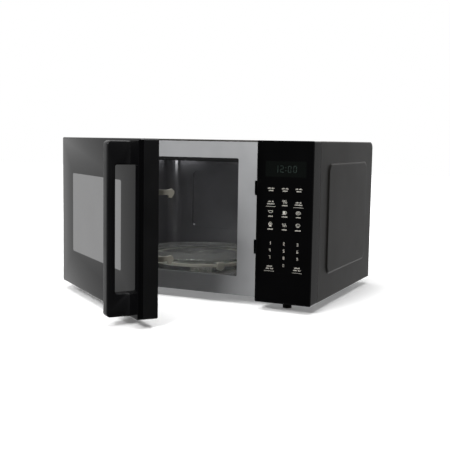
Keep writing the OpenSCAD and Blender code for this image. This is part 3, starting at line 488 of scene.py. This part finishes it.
def make_door_handle():
    """The D-shaped handle with rounded edges and roots that widen onto the glass."""
    y_front, y_root = HANDLE0.y, HANDLE1.y
    z0, z1 = HANDLE0.z, HANDLE1.z
    leg, grip, bend, inner_bend, round_off = (v * MM for v in (37.5, 14.0, 6.5, 3.0, 2.4))
    root_flare = 2.5 * MM
    straight = 6

    def outline(inset):
        """The side view as a closed loop of (y, z), its free edges moved in by inset."""
        points = []
        outer = bend - inset * 0.5
        low, high, front = z0 + inset, z1 - inset, y_front + inset
        for i in range(straight):
            points.append((y_root + (front + outer - y_root) * i / straight, low))
        points += [(front + outer - outer * s, low + outer - outer * c) for c, s in arc(10)]
        points += [(front + outer - outer * c, high - outer + outer * s) for c, s in arc(10)]
        for i in range(1, straight + 1):
            points.append((front + outer + (y_root - front - outer) * i / straight, high))
        inner = inner_bend + inset * 0.5
        low, high, front = z0 + leg - inset, z1 - leg + inset, y_front + grip - inset
        for i in range(straight):
            points.append((y_root + (front + inner - y_root) * i / straight, high))
        points += [(front + inner - inner * s, high - inner + inner * c) for c, s in arc(10)]
        points += [(front + inner - inner * c, low + inner - inner * s) for c, s in arc(10)]
        for i in range(1, straight + 1):
            points.append((front + inner + (y_root - front - inner) * i / straight, low))
        return points

    width = HANDLE1.x - HANDLE0.x
    layers = [(round_off * (1 - c), round_off * (1 - s)) for c, s in arc(7)]
    layers += [(width - a, b) for a, b in reversed(layers)]
    shape = Shape()
    loops = []
    for across, inset in layers:
        points = []
        for y, z in outline(inset):
            near = smooth_step(1 - (y_root - y) / (7 * MM))
            side = (across / width - 0.5) * 2
            points.append((HANDLE0.x + across + side * root_flare * near, y, z))
        loops.append(points)
    first, last = shape.loft(loops)
    shape.fill(first, flip=True)
    shape.fill(last)
    return shape.piece("handle_grip", ["black_plastic"], "door", ["door_handle"], 50, OPEN_DOOR)


# ---- Front glass of the door ----

GLASS0, GLASS1 = shut_box("door_glass")
SCREEN0, SCREEN1 = shut_box("door_screen")


def make_door_glass():
    """The front glass: a dark printed border round a lighter window, its edges rounded."""
    x0, x1, y0, y1 = GLASS0.x, GLASS1.x, GLASS0.y, GLASS1.y
    z0, z1 = GLASS0.z, GLASS1.z
    corner, edge = 4 * MM, 1.3 * MM
    shape = Shape()

    def ring(inset, y, radius=None):
        radius = max(corner - inset, 0.6 * MM) if radius is None else radius
        return [(a, y, b) for a, b in rounded_rect(x0 + inset, x1 - inset, z0 + inset,
                                                   z1 - inset, radius)]

    front = [ring(edge * (1 - s), y0 + edge * (1 - c)) for c, s in arc(5)]
    back = [ring(0.4 * MM * (1 - c), y1 - 0.4 * MM * (1 - s)) for c, s in arc(3)]
    first, last = shape.loft(front + back)
    window = shape.loop([(a, y0, b) for a, b in rounded_rect(
        SCREEN0.x, SCREEN1.x, SCREEN0.z, SCREEN1.z, 4 * MM)])
    shape.fill(first, [window[::-1]])
    shape.fill(window, material=1)
    shape.fill(last, flip=True)
    return shape.piece("glass_pane", ["black_glass", "window_glass"], "door", ["door_glass"],
                       30, OPEN_DOOR)


# ---- Perforated screen of the door ----

HOLE_PITCH = 3.2 * MM
HOLE_RADIUS = 1.15 * MM


def make_door_screen():
    """The shielding sheet with its many small holes."""
    shape = Shape()
    y = SCREEN0.y
    across = int((SCREEN1.x - SCREEN0.x - 6 * MM) / HOLE_PITCH)
    upward = int((SCREEN1.z - SCREEN0.z - 6 * MM) / HOLE_PITCH)
    start_x = (SCREEN0.x + SCREEN1.x - across * HOLE_PITCH) / 2
    start_z = (SCREEN0.z + SCREEN1.z - upward * HOLE_PITCH) / 2
    grid = [[None] * (upward * 2 + 1) for _ in range(across * 2 + 1)]
    for i in range(across * 2 + 1):
        for j in range(upward * 2 + 1):
            grid[i][j] = shape.loop([(start_x + i * HOLE_PITCH / 2, y,
                                      start_z + j * HOLE_PITCH / 2)])[0]
    for i in range(across):
        for j in range(upward):
            cx = start_x + (i + 0.5) * HOLE_PITCH
            cz = start_z + (j + 0.5) * HOLE_PITCH
            hole = shape.loop([(cx + HOLE_RADIUS * c, y, cz + HOLE_RADIUS * s)
                               for c, s in arc(7, 0, 315)])
            a, b = 2 * i, 2 * j
            rim = [grid[a + 2][b + 1], grid[a + 2][b + 2], grid[a + 1][b + 2], grid[a][b + 2],
                   grid[a][b + 1], grid[a][b], grid[a + 1][b], grid[a + 2][b]]
            shape.join(hole, rim)
    edge = [grid[i][0] for i in range(across * 2 + 1)]
    edge += [grid[across * 2][j] for j in range(1, upward * 2 + 1)]
    edge += [grid[i][upward * 2] for i in range(across * 2 - 1, -1, -1)]
    edge += [grid[0][j] for j in range(upward * 2 - 1, 0, -1)]
    border = shape.loop([(a, y, b) for a, b in rounded_rect(
        SCREEN0.x, SCREEN1.x, SCREEN0.z, SCREEN1.z, 6 * MM)])
    shape.fill(border, [edge[::-1]])
    return shape.piece("shield_screen", ["screen_steel"], "door", ["door_screen"], 30,
                       OPEN_DOOR)


# ---- Print on the control panel ----

PRINT_LIFT = 0.06 * MM


def add_bar(shape, x, z, width, height):
    """A flat bar on the panel face, centred at x and z."""
    y = FASCIA0.y - PRINT_LIFT
    corners = shape.loop([(x - width / 2, y, z - height / 2), (x + width / 2, y, z - height / 2),
                          (x + width / 2, y, z + height / 2), (x - width / 2, y, z + height / 2)])
    shape.face(tuple(corners))


def add_ring(shape, x, z, radius, line, start=0, end=360, squash=1.0):
    """A thin ring or arc on the panel face."""
    y = FASCIA0.y - PRINT_LIFT
    inner, outer = ([(x + r * c, y, z + squash * r * s) for c, s in arc(20, start, end)]
                    for r in (radius - line, radius))
    shape.join(shape.loop(inner), shape.loop(outer), closed=False)


# Which of the seven strokes of a plain digit are drawn, from the top clockwise, middle last
STROKES = {"0": "abcdef", "1": "bc", "2": "abged", "3": "abgcd", "4": "fgbc", "5": "afgcd",
           "6": "afgedc", "7": "abc", "8": "abcdefg", "9": "abcdfg"}


def add_digit(shape, x, z, digit, height, line):
    """A digit made of straight strokes."""
    width = height * 0.52
    half, up = width / 2 - line / 2, height / 2 - line / 2
    places = {"a": (0, up, width, line), "d": (0, -up, width, line), "g": (0, 0, width, line),
              "b": (half, up / 2, line, up + line), "c": (half, -up / 2, line, up + line),
              "f": (-half, up / 2, line, up + line), "e": (-half, -up / 2, line, up + line)}
    for stroke in STROKES[digit]:
        dx, dz, w, h = places[stroke]
        add_bar(shape, x + dx, z + dz, w, h)


def add_label(shape, x, z, width, words=1, height=2.0 * MM):
    """A word label, drawn as a row of short bars instead of letters."""
    pitch = 1.75 * MM
    count = max(3, int(width / pitch))
    left = x - (count - 1) * pitch / 2
    for i in range(count):
        if words > 1 and i == count // 2:
            continue
        tall = height * (1.0 if (i * 7) % 3 else 0.72)
        add_bar(shape, left + i * pitch, z - (height - tall) / 2, pitch * 0.62, tall)


DIGIT_HEIGHT = 5.2 * MM
DIGIT_LINE = 0.75 * MM
PRINT_COLUMNS = [FASCIA1.x - inset * MM for inset in (77.5, 51.5, 26.5)]


def print_row(height):
    """Height in the frame of a row of print, given in millimetres above the panel's foot."""
    return FASCIA0.z + height * MM


def add_icon(shape, x, z, kind):
    """One of six plain pictures: bowl, cup, plate, popped corn, steam or box."""
    unit = 1.5 * MM
    line = 0.7 * MM
    if kind == 0:
        add_ring(shape, x, z + unit, 2.8 * unit, line, 180, 360, 0.8)
        add_bar(shape, x, z + 1.3 * unit, 6.2 * unit, line)
    elif kind == 1:
        add_bar(shape, x - 0.6 * unit, z, 3.0 * unit, 3.2 * unit)
        add_ring(shape, x + 1.4 * unit, z, 1.3 * unit, line, -90, 90)
        add_bar(shape, x - 0.6 * unit, z - 2.2 * unit, 4.6 * unit, line)
    elif kind == 2:
        add_ring(shape, x, z, 3.0 * unit, line, 0, 360, 0.7)
        add_ring(shape, x, z, 1.5 * unit, line, 0, 360, 0.7)
    elif kind == 3:
        for dx, dz in ((-1.3, 0.4), (1.2, 0.7), (0, 1.9)):
            add_ring(shape, x + dx * unit, z + dz * unit, 1.2 * unit, line)
        add_bar(shape, x, z - 1.6 * unit, 2.8 * unit, 1.6 * unit)
    elif kind == 4:
        for dx in (-1.8, 0, 1.8):
            add_ring(shape, x + dx * unit, z + 0.9 * unit, 0.9 * unit, line, 90, 270, 1.2)
            add_ring(shape, x + dx * unit, z - 0.9 * unit, 0.9 * unit, line, -90, 90, 1.2)
    else:
        add_ring(shape, x, z + 0.4 * unit, 2.7 * unit, line, 0, 180, 0.8)
        add_bar(shape, x, z, 5.4 * unit, line)
        add_bar(shape, x, z - 1.5 * unit, 3.4 * unit, line)


def make_panel_print():
    """The numbers, pictures, bars in place of words, and lines on the control panel."""
    shape = Shape()
    left, middle, right = PRINT_COLUMNS
    for x in PRINT_COLUMNS:
        add_label(shape, x, print_row(201), 13 * MM, 2)
        add_label(shape, x, print_row(197), 10 * MM)
    for x in (left, right):
        add_label(shape, x, print_row(178), 11 * MM, 2)
        add_label(shape, x, print_row(174), 14 * MM)
        add_bar(shape, x, print_row(169.4), 18 * MM, 0.5 * MM)
    add_icon(shape, middle, print_row(178.5), 4)
    add_label(shape, middle, print_row(172), 11 * MM)
    for row, (icon_z, label_z) in enumerate(((160, 152.5), (138, 130))):
        for column, x in enumerate(PRINT_COLUMNS):
            add_icon(shape, x, print_row(icon_z), (row * 3 + column) % 6)
            add_label(shape, x, print_row(label_z), (9 + 2 * ((row + column) % 2)) * MM)
    for row, digits in enumerate(("123", "456", "789")):
        for x, digit in zip(PRINT_COLUMNS, digits):
            add_digit(shape, x, print_row(105.6 - 12.4 * row), digit, DIGIT_HEIGHT, DIGIT_LINE)
    add_digit(shape, middle, print_row(67.7), "0", DIGIT_HEIGHT, DIGIT_LINE)
    for x in (left, right):
        add_label(shape, x, print_row(65), 12 * MM)
        add_label(shape, x, print_row(61), 14 * MM, 2)
        add_bar(shape, x, print_row(56.5), 18 * MM, 0.4 * MM)
    return shape.piece("panel_print", ["white_plastic"], "root")


# ---- Digits of the display ----

LENS0, LENS1 = node_box("display_window")


def make_display_digits():
    """A dim clock reading on the display lens."""
    shape = Shape()
    x, z = (LENS0.x + LENS1.x) / 2, (LENS0.z + LENS1.z) / 2
    for dx, digit in ((-17, "1"), (-7, "2"), (7, "0"), (17, "0")):
        add_digit(shape, x + dx * MM, z, digit, 12 * MM, 1.3 * MM)
    for dz in (-2.6, 2.6):
        add_bar(shape, x, z + dz * MM, 1.4 * MM, 1.4 * MM)
    return shape.piece("clock_digits", ["clock_print"], "root", slot="display_block")


# ---- Black strip of painted shade round the mouth of the oven ----

FRAME0 = node_box("front_frame")[0]
MOUTH_X = (LINER0.x + 8 * MM, LINER1.x - 5 * MM)
MOUTH_Z = (LINER0.z + 7.4 * MM, LINER1.z - 4 * MM)


def make_mouth_shade_strip():
    """A narrow black strip just behind the front frame, deepest along the top: painted shade standing
    in for the shadowed lip under the opening's top edge.
    """
    x0, x1 = MOUTH_X
    z0, z1 = MOUTH_Z
    y0 = FRAME0.y + 1.2 * MM
    sides, head, foot, deep = (v * MM for v in (1.0, 4.2, 0.5, 2.0))
    shape = Shape()

    def ring(inset, y):
        return [(a, y, b) for a, b in rounded_rect(
            x0 - MM + inset * sides, x1 + MM - inset * sides, z0 - MM + inset * foot,
            z1 + MM - inset * head, 3.5 * MM)]

    shape.loft([ring(0, y0), ring(1.6, y0), ring(1.9, y0 + 0.4 * MM), ring(1.9, y0 + deep),
                ring(0, y0 + deep)])
    return shape.piece("mouth_shade_strip", ["textured_black"], "root")


# The strip round the mouth is painted shade: a black band where the front of the ceiling lies in
# shadow.
make_mouth_shade_strip()
make_glass_tray()
make_door_handle()
make_door_glass()
make_door_screen()
make_panel_print()
make_display_digits()

# ---- Camera, light and floor ----

# The camera's place from the middle of the case front, at the underside of the case
CASE_FRONT = Vector(((WRAP0.x + WRAP1.x) / 2, FASCIA0.y, FASCIA0.z))
CAMERA_FROM_FRONT = Vector((0.70505, -1.30219, 0.28245))
CAMERA_YAW = 0.4399
CAMERA_PITCH = -0.1043
CAMERA_ROLL = 0.0165
CAMERA_LENS = 64.96


def add_camera():
    """The camera, at the viewing angle of the picture."""
    data = bpy.data.cameras.new("camera")
    data.sensor_width = 36
    data.lens = CAMERA_LENS
    data.clip_start = 0.01
    camera = bpy.data.objects.new("camera", data)
    bpy.context.scene.collection.objects.link(camera)
    forward = Vector((-math.sin(CAMERA_YAW) * math.cos(CAMERA_PITCH),
                      math.cos(CAMERA_YAW) * math.cos(CAMERA_PITCH), math.sin(CAMERA_PITCH)))
    right = Vector((math.cos(CAMERA_YAW), math.sin(CAMERA_YAW), 0))
    up = right.cross(forward)
    tilted_right = right * math.cos(CAMERA_ROLL) + up * math.sin(CAMERA_ROLL)
    tilted_up = up * math.cos(CAMERA_ROLL) - right * math.sin(CAMERA_ROLL)
    turn = Matrix((tilted_right, tilted_up, -forward)).transposed()
    camera.matrix_world = Matrix.Translation(CASE_FRONT + CAMERA_FROM_FRONT) @ turn.to_4x4()
    bpy.context.scene.camera = camera


def add_light(name, place, aim, size, power):
    """A square soft light that points at a place."""
    data = bpy.data.lights.new(name, "AREA")
    data.size = size
    data.energy = power
    light = bpy.data.objects.new(name, data)
    light.location = place
    light.rotation_euler = (Vector(aim) - Vector(place)).to_track_quat("-Z", "Y").to_euler()
    bpy.context.scene.collection.objects.link(light)


def add_world():
    """White to the camera. The object sees it bright behind and on the left, dark elsewhere."""
    world = bpy.data.worlds.new("studio")
    world.use_nodes = True
    bpy.context.scene.world = world
    tree = world.node_tree
    coords = tree.nodes.new("ShaderNodeTexCoord")
    split = tree.nodes.new("ShaderNodeSeparateXYZ")
    tree.links.new(coords.outputs["Generated"], split.inputs["Vector"])
    level = add_range(tree, split.outputs["Y"], 0.07, 1.0, -0.12, 0.14)
    for low, high, start, end in ((1.0, 0.13, 0.05, 0.35), (0.62, 1.0, -0.92, -0.70)):
        product = tree.nodes.new("ShaderNodeMath")
        product.operation = "MULTIPLY"
        tree.links.new(level, product.inputs[0])
        tree.links.new(add_range(tree, split.outputs["X"], low, high, start, end),
                       product.inputs[1])
        level = product.outputs[0]
    rays = tree.nodes.new("ShaderNodeLightPath")
    seen = tree.nodes.new("ShaderNodeMath")
    seen.operation = "MAXIMUM"
    tree.links.new(level, seen.inputs[0])
    tree.links.new(rays.outputs["Is Camera Ray"], seen.inputs[1])
    background = tree.nodes["Background"]
    color = add_mix(tree, seen.outputs[0], (0.0, 0.0, 0.0), (1.0, 1.0, 1.0))
    tree.links.new(color, background.inputs["Color"])
    background.inputs["Strength"].default_value = 1.0


def add_floor():
    """A plain pale floor, which takes shadows but throws no light back at the object."""
    mesh = bpy.data.meshes.new("floor")
    half = 6.0
    mesh.from_pydata([(-half, -half, 0), (half, -half, 0), (half, half, 0), (-half, half, 0)],
                     [], [(0, 1, 2, 3)])
    floor = bpy.data.objects.new("floor", mesh)
    bpy.context.scene.collection.objects.link(floor)
    mat, tree, shader = new_material("floor_white", (0.93, 0.93, 0.93), 0.9, specular=0.1)
    shader.inputs["Emission Color"].default_value = (1, 1, 1, 1)
    coords = tree.nodes.new("ShaderNodeTexCoord")
    reach = tree.nodes.new("ShaderNodeVectorMath")
    reach.operation = "LENGTH"
    tree.links.new(coords.outputs["Object"], reach.inputs[0])
    tree.links.new(add_range(tree, reach.outputs["Value"], 0.12, 0.95, 0.3, 1.5),
                   shader.inputs["Emission Strength"])
    mesh.materials.append(mat)
    floor.visible_glossy = False
    floor.visible_diffuse = False


# Plain display colours, so that white surroundings come out white
bpy.context.scene.view_settings.view_transform = "Standard"
add_camera()
add_world()
add_floor()
add_light("overhead", (0.1, -0.2, 1.9), (0, 0, 0.1), 1.8, 40)
add_light("front_fill", (-0.1, -2.0, 1.3), (0, 0, 0.15), 0.7, 46)
add_light("oven_glow", (TURN.x, LINER0.y + 0.07, LINER1.z - 0.004), (TURN.x, TURN.y, LINER0.z),
          0.16, 0.7)
